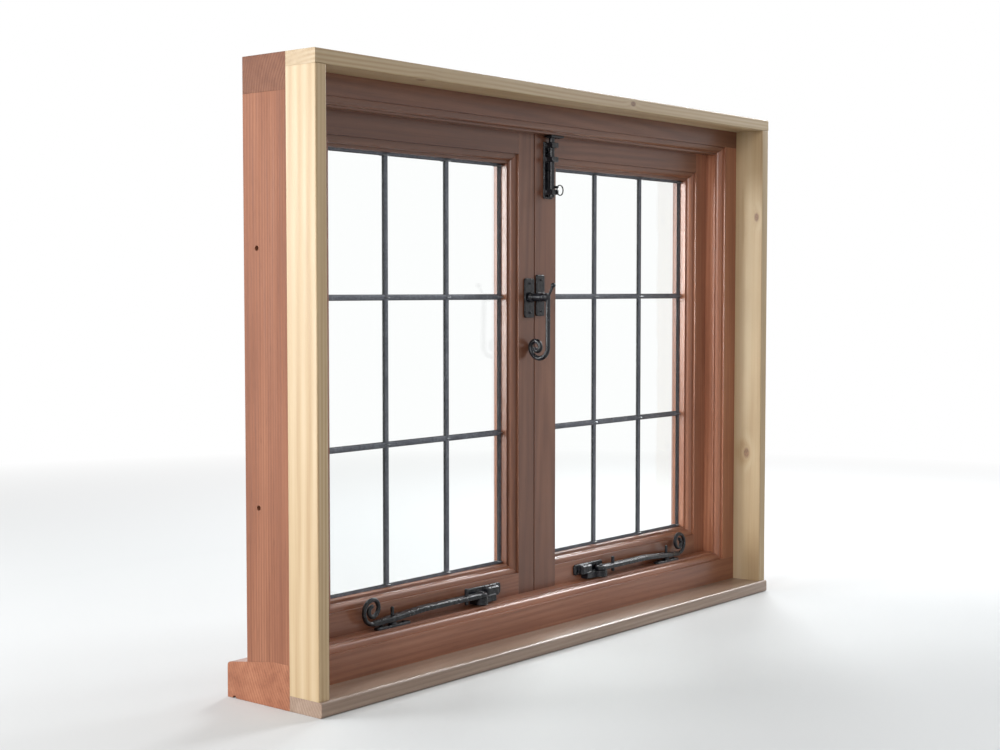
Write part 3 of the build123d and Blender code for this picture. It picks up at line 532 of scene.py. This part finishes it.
hammerMarks = hammerTree()
for count, (node, (skin, markSize, depth)) in enumerate(forging.items()):
    host = newHost("blank", weldedCopy(node))
    remesh = host.modifiers.new("skin", "REMESH")
    remesh.mode, remesh.voxel_size = "VOXEL", skin
    soften = host.modifiers.new("soften", "SMOOTH")
    soften.factor, soften.iterations = forge["soften"], forge["passes"]
    marks = {"Mark Size": markSize, "Mark Depth": depth, "Seed": count + forge["firstSeed"]}
    settle(bake(host, "forged-" + node, hammerMarks, marks), "black_iron", node)
print("iron forged")


# slotted round-head screws in the ironwork
screw = {
    "Head Radius": 3.1 * mm, "Head Rise": 1.7 * mm, "Slot Width": 0.8 * mm, "Slot Depth": 0.8 * mm,
    "Segments": 24, "Rings": 12,
}
# where they sit on each piece, how far their slots are turned, and how large they are
screwFit = {
    "plateInset": 7.0 * mm, "plateSink": 0.2 * mm, "keeperSink": 2.2 * mm,
    "plateTurns": (0.5, 1.9), "plateScale": 0.85,
    "boltPlate": 2.5 * mm, "boltAcross": 7.4 * mm, "boltUp": (21.0 * mm, 65.0 * mm),
    "boltTurn": (90.0, 40.0), "boltScale": 0.55,
    "keepAcross": 11.4 * mm, "keepTurn": 60.0,
    "blockDrop": 1.75 * mm, "blockAlong": 18.0 * mm, "blockOut": 6.5 * mm,
    "blockTurn": 0.9, "blockScale": 0.62,
    "restAcross": 20.0 * mm, "restThick": 3.5 * mm, "restTurn": 30.0, "restScale": 0.8,
}
roomward, upward, downward = (0.0, -1.0, 0.0), (0.0, 0.0, 1.0), (0.0, 0.0, -1.0)


def screwTree():
    tree, size = newTree("slottedScrews", screw)
    ball = addNode(tree, "GeometryNodeMeshUVSphere", {
        "Segments": size["Segments"], "Rings": size["Rings"], "Radius": 1.0})
    dome = addNode(tree, "GeometryNodeTransform", {
        "Geometry": ball.outputs["Mesh"],
        "Scale": joined(tree, size["Head Radius"], size["Head Radius"], size["Head Rise"])})
    # the slot's cutter runs past the head, and lies half above its top
    long = calc(tree, "MULTIPLY", size["Head Radius"], 3.0)
    deep = calc(tree, "MULTIPLY", size["Slot Depth"], 2.0)
    cutter = addNode(tree, "GeometryNodeMeshCube", {
        "Size": joined(tree, long, size["Slot Width"], deep)})
    lifted = addNode(tree, "GeometryNodeTransform", {
        "Geometry": cutter.outputs["Mesh"], "Translation": joined(tree, z=size["Head Rise"])})
    head = addNode(tree, "GeometryNodeMeshBoolean", {
        "Mesh 1": dome.outputs[0], "Mesh 2": lifted.outputs[0]}, operation="DIFFERENCE")
    return endTree(tree, stoodOnPoints(tree, size["Geometry"], head.outputs["Mesh"]), ironwork)


screwPlaces = []
for node, sink in (("fastener_plate", "plateSink"), ("fastener_keeper", "keeperSink")):
    low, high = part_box(node)
    ends = (low.z + screwFit["plateInset"], high.z - screwFit["plateInset"])
    for z, turn in zip(ends, screwFit["plateTurns"]):
        place = ((low.x + high.x) / 2, low.y + screwFit[sink], z)
        screwPlaces.append((place, roomward, turn, screwFit["plateScale"]))
low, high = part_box("bolt_plate")
turnAcross, turnUp = screwFit["boltTurn"]
for z in screwFit["boltUp"]:
    for x in (-screwFit["boltAcross"], screwFit["boltAcross"]):
        place = ((low.x + high.x) / 2 + x, high.y - screwFit["boltPlate"], low.z + z)
        screwPlaces.append((place, roomward, turnUp * z + turnAcross * x, screwFit["boltScale"]))
low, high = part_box("bolt_keep")
for x in (-screwFit["keepAcross"], screwFit["keepAcross"]):
    place = ((low.x + high.x) / 2 + x, (low.y + high.y) / 2, low.z)
    screwPlaces.append((place, downward, screwFit["keepTurn"] * x, screwFit["boltScale"]))
for side, hand in (("left", -1), ("right", 1)):
    low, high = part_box(side + "_stay_bracket")
    inner = high.x if hand < 0 else low.x
    x = inner + hand * screwFit["blockAlong"]
    place = (x, high.y - screwFit["blockOut"], high.z - screwFit["blockDrop"])
    screwPlaces.append((place, upward, screwFit["blockTurn"] * hand, screwFit["blockScale"]))
    low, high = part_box(side + "_stay_pins")
    for x in (-screwFit["restAcross"], screwFit["restAcross"]):
        place = ((low.x + high.x) / 2 + x, (low.y + high.y) / 2, low.z + screwFit["restThick"])
        turn = screwFit["restTurn"] * x + hand
        screwPlaces.append((place, upward, turn, screwFit["restScale"]))
settle(bake(pointHost(screwPlaces), "screws", screwTree(), screw), "black_iron")
print("screws set:", len(screwPlaces))


# leaded lights: solder where the cames cross, and cement along every quarry
lights = {
    "columns": 3, "rows": 3, "cameFace": 6.5 * mm, "edgeFace": 16.0 * mm, "cameFront": 3.5 * mm,
    "jointSink": 0.12 * mm, "jointSize": 0.92, "jointSpread": 0.16,
    "jointSwing": (12.9, 7.3), "jointTurn": (1.3, 0.7), "cementOut": 1.9 * mm,
}
solderSize = {
    "Joint Radius": 5.0 * mm, "Joint Rise": 0.75 * mm, "Subdivisions": 4,
    "Unevenness": 0.8 * mm, "Lump Scale": 170.0, "Seed": 4, "Seed Step": 1.7,
}
cementSize = {"Fillet Radius": 0.85 * mm, "Fillet Sides": 6}


def evenLines(low, high, count):
    first, last = low + lights["edgeFace"] / 2, high - lights["edgeFace"] / 2
    return [first + (last - first) * step / count for step in range(count + 1)]


def solderTree():
    tree, size = newTree("solderJoints", solderSize)
    ball = addNode(tree, "GeometryNodeMeshIcoSphere", {
        "Radius": 1.0, "Subdivisions": size["Subdivisions"]})
    drop = addNode(tree, "GeometryNodeTransform", {
        "Geometry": ball.outputs["Mesh"],
        "Scale": joined(tree, size["Joint Radius"], size["Joint Radius"], size["Joint Rise"])})
    placed = stoodOnPoints(tree, size["Geometry"], drop.outputs[0])
    solid = addNode(tree, "GeometryNodeRealizeInstances", {0: placed})
    lumps = addNode(tree, "ShaderNodeTexNoise", {
        "Vector": addNode(tree, "GeometryNodeInputPosition").outputs[0],
        "W": calc(tree, "MULTIPLY", size["Seed"], size["Seed Step"]),
        "Scale": size["Lump Scale"], "Detail": 1.0}, noise_dimensions="4D")
    shift = calcVector(tree, "SUBTRACT", lumps.outputs["Color"], (0.5, 0.5, 0.5))
    sideways = calcVector(tree, "MULTIPLY", shift, (2.0, 0.0, 2.0))
    uneven = addNode(tree, "GeometryNodeSetPosition", {
        "Geometry": solid.outputs[0], "Offset": scaled(tree, sideways, size["Unevenness"])})
    return endTree(tree, uneven.outputs[0], solder)


def cementTree():
    tree, size = newTree("cementFillets", cementSize)
    path = addNode(tree, "GeometryNodeMeshToCurve", {"Mesh": size["Geometry"]})
    ring = addNode(tree, "GeometryNodeCurvePrimitiveCircle", {
        "Resolution": size["Fillet Sides"], "Radius": size["Fillet Radius"]})
    bead = addNode(tree, "GeometryNodeCurveToMesh", {
        "Curve": path.outputs[0], "Profile Curve": ring.outputs[0]})
    return endTree(tree, bead.outputs[0], cement)


def inset(step, last, amount):
    return amount if step == 0 else -amount if step == last else 0.0


solderJoints, cementFillets = solderTree(), cementTree()
swingAcross, swingUp = lights["jointSwing"]
spinAcross, spinUp = lights["jointTurn"]
for side in ("left", "right"):
    low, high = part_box(side + "_leading")
    across = evenLines(low.x, high.x, lights["columns"])
    upright = evenLines(low.z, high.z, lights["rows"])
    half, edge = lights["cameFace"] / 2, lights["edgeFace"] / 2
    joints = []
    for i, x in enumerate(across):
        for k, z in enumerate(upright):
            xJoint = x + inset(i, lights["columns"], edge)
            zJoint = z + inset(k, lights["rows"], edge)
            # no two joints alike
            swing = math.sin(swingAcross * i + swingUp * k + len(side))
            size = lights["jointSize"] + lights["jointSpread"] * swing
            spin = spinAcross * i + spinUp * k
            for face in (-1, 1):
                place = (xJoint, face * (lights["cameFront"] - lights["jointSink"]), zJoint)
                joints.append((place, (0.0, float(face), 0.0), spin, size))
    settle(bake(pointHost(joints), "solder-" + side, solderJoints, solderSize), "lead")

    points, lines = [], []
    for i in range(lights["columns"]):
        for k in range(lights["rows"]):
            x0 = across[i] + (edge if i == 0 else half)
            x1 = across[i + 1] - (edge if i == lights["columns"] - 1 else half)
            z0 = upright[k] + (edge if k == 0 else half)
            z1 = upright[k + 1] - (edge if k == lights["rows"] - 1 else half)
            for y in (-lights["cementOut"], lights["cementOut"]):
                first = len(points)
                points += [(x0, y, z0), (x1, y, z0), (x1, y, z1), (x0, y, z1)]
                lines += [(first + n, first + (n + 1) % 4) for n in range(4)]
    mesh = bpy.data.meshes.new("quarryEdges")
    mesh.from_pydata(points, lines, [])
    edges = newHost("edgeHost", mesh)
    settle(bake(edges, "cement-" + side, cementFillets, cementSize), "lead")
print("leading soldered and cemented")


# panel pins that hold the glazing beads outdoors
beadPins = {"Pin Radius": 0.9 * mm, "Pin Rise": 0.35 * mm, "Segments": 14, "Rings": 8}
beadFit = {"rebate": 13.5 * mm, "chamfer": 7.0 * mm, "gap": 118.0 * mm}


def pinTree():
    tree, size = newTree("panelPins", beadPins)
    ball = addNode(tree, "GeometryNodeMeshUVSphere", {
        "Segments": size["Segments"], "Rings": size["Rings"], "Radius": 1.0})
    head = addNode(tree, "GeometryNodeTransform", {
        "Geometry": ball.outputs["Mesh"],
        "Scale": joined(tree, size["Pin Radius"], size["Pin Radius"], size["Pin Rise"])})
    return endTree(tree, stoodOnPoints(tree, size["Geometry"], head.outputs[0]), leadwork)


def pinsAlong(start, end, facing):
    length = (end - start).length
    count = round(length / beadFit["gap"])
    return [(start.lerp(end, (n + 0.5) / count), facing, 0.0, 1.0) for n in range(count)]


slope = math.sqrt(0.5)
pinPlaces = []
for side in ("left", "right"):
    low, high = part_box(side + "_beads")
    edge = beadFit["rebate"] - beadFit["chamfer"] / 2
    x0, x1, z0, z1 = low.x + edge, high.x - edge, low.z + edge, high.z - edge
    y = high.y - beadFit["chamfer"] / 2
    pinPlaces += pinsAlong(Vector((x0, y, z0)), Vector((x0, y, z1)), (slope, slope, 0.0))
    pinPlaces += pinsAlong(Vector((x1, y, z0)), Vector((x1, y, z1)), (-slope, slope, 0.0))
    pinPlaces += pinsAlong(Vector((x0, y, z0)), Vector((x1, y, z0)), (0.0, slope, slope))
    pinPlaces += pinsAlong(Vector((x0, y, z1)), Vector((x1, y, z1)), (0.0, slope, -slope))
settle(bake(pointHost(pinPlaces), "beadPins", pinTree(), beadPins), "lead")
print("bead pins set:", len(pinPlaces))


# floor, light and camera
floorLook = {
    "colour": (0.64, 0.64, 0.63, 1.0), "rough": 0.85, "specular": 0.2,
    "radius": 9.0, "sides": 96, "drop": 0.2 * mm, "fadeStart": 0.9, "fadeEnd": 2.6,
}
white = (1.0, 1.0, 1.0, 1.0)


def seenRays(tree):
    rays = addNode(tree, "ShaderNodeLightPath").outputs
    glossy = calc(tree, "MAXIMUM", rays["Is Camera Ray"], rays["Is Glossy Ray"])
    return calc(tree, "MAXIMUM", glossy, rays["Is Transmission Ray"])


def floorFinish():
    finish, tree, shader = newFinish("paleFloor")
    away = lengthOf(tree, objectPlace(tree))
    far = spread(tree, away, floorLook["fadeStart"], floorLook["fadeEnd"])
    shader.inputs["Base Color"].default_value = floorLook["colour"]
    shader.inputs["Roughness"].default_value = floorLook["rough"]
    shader.inputs["Specular IOR Level"].default_value = floorLook["specular"]
    haze = addNode(tree, "ShaderNodeEmission", {"Color": white, "Strength": 1.0})
    both = addNode(tree, "ShaderNodeMixShader", {
        0: calc(tree, "MULTIPLY", far, seenRays(tree)), 1: shader.outputs[0], 2: haze.outputs[0]})
    tree.links.new(both.outputs[0], tree.nodes["Material Output"].inputs["Surface"])
    return finish


turns = [math.tau * n / floorLook["sides"] for n in range(floorLook["sides"])]
reach, depth = floorLook["radius"], -floorLook["drop"]
rim = [(reach * math.cos(turn), reach * math.sin(turn), depth) for turn in turns]
floorMesh = bpy.data.meshes.new("floor")
floorMesh.from_pydata(rim, [], [tuple(range(len(rim)))])
floorMesh.materials.append(floorFinish())
newHost("floor", floorMesh)

studio = {"tint": (0.97, 0.985, 1.0, 1.0), "strength": 0.24}
world = bpy.data.worlds.new("studio")
scene.world = world
world.use_nodes = True
sky = world.node_tree
ambient = sky.nodes["Background"]
ambient.inputs["Color"].default_value = studio["tint"]
ambient.inputs["Strength"].default_value = studio["strength"]
backdrop = addNode(sky, "ShaderNodeBackground", {"Color": white, "Strength": 1.0})
both = addNode(sky, "ShaderNodeMixShader", {
    0: seenRays(sky), 1: ambient.outputs[0], 2: backdrop.outputs[0]})
sky.links.new(both.outputs[0], sky.nodes["World Output"].inputs["Surface"])

# daylight from outdoors, and soft light on the near side
daylight, paleBlue = (0.96, 0.98, 1.0), (0.93, 0.965, 1.0)
paleGrey, warm = (0.97, 0.98, 1.0), (1.0, 0.985, 0.965)
lamps = {
    "highSky": {
        "place": (-0.55, 1.35, 2.35), "size": (1.8, 0.9), "power": 20.0, "colour": daylight},
    "leftSky": {
        "place": (-1.95, 1.40, 0.72), "size": (0.9, 0.9), "power": 40.0, "colour": daylight},
    "rightSky": {
        "place": (1.95, 0.95, 1.45), "size": (0.7, 0.8), "power": 34.0, "colour": paleBlue},
    "leftWall": {
        "place": (-3.0, -0.75, 1.15), "size": (0.6, 0.9), "power": 46.0, "colour": paleGrey},
    "rightWall": {
        "place": (2.00, -0.42, 1.46), "size": (0.7, 0.5), "power": 38.0, "colour": paleBlue},
    "room": {
        "place": (-0.8, -2.6, 1.2), "size": (1.4, 1.2), "power": 2.0, "colour": warm},
}
target = Vector((0.0, 0.0, 0.37))


def turnedTo(place, aim):
    return (Vector(aim) - Vector(place)).to_track_quat("-Z", "Y").to_euler()


for name, lamp in lamps.items():
    light = bpy.data.lights.new(name, "AREA")
    light.shape, light.size, light.size_y = "RECTANGLE", *lamp["size"]
    light.energy, light.color = lamp["power"], lamp["colour"]
    holder = newHost(name, light)
    holder.location = lamp["place"]
    holder.rotation_euler = turnedTo(lamp["place"], target)
    holder.visible_camera = False

# the photograph's viewpoint, turned to the window
view = {
    "eye": (-1.7294, -1.380, 0.482), "aim": (-0.125, -0.060, 0.371),
    "lens": 57.24, "sensor": 36.0, "near": 0.05, "far": 60.0,
}
camera = bpy.data.cameras.new("camera")
camera.lens, camera.sensor_width = view["lens"], view["sensor"]
camera.clip_start, camera.clip_end = view["near"], view["far"]
holder = newHost("camera", camera)
holder.location = view["eye"]
holder.rotation_euler = turnedTo(view["eye"], view["aim"])
scene.camera = holder
bpy.context.view_layer.update()
print("stage set")
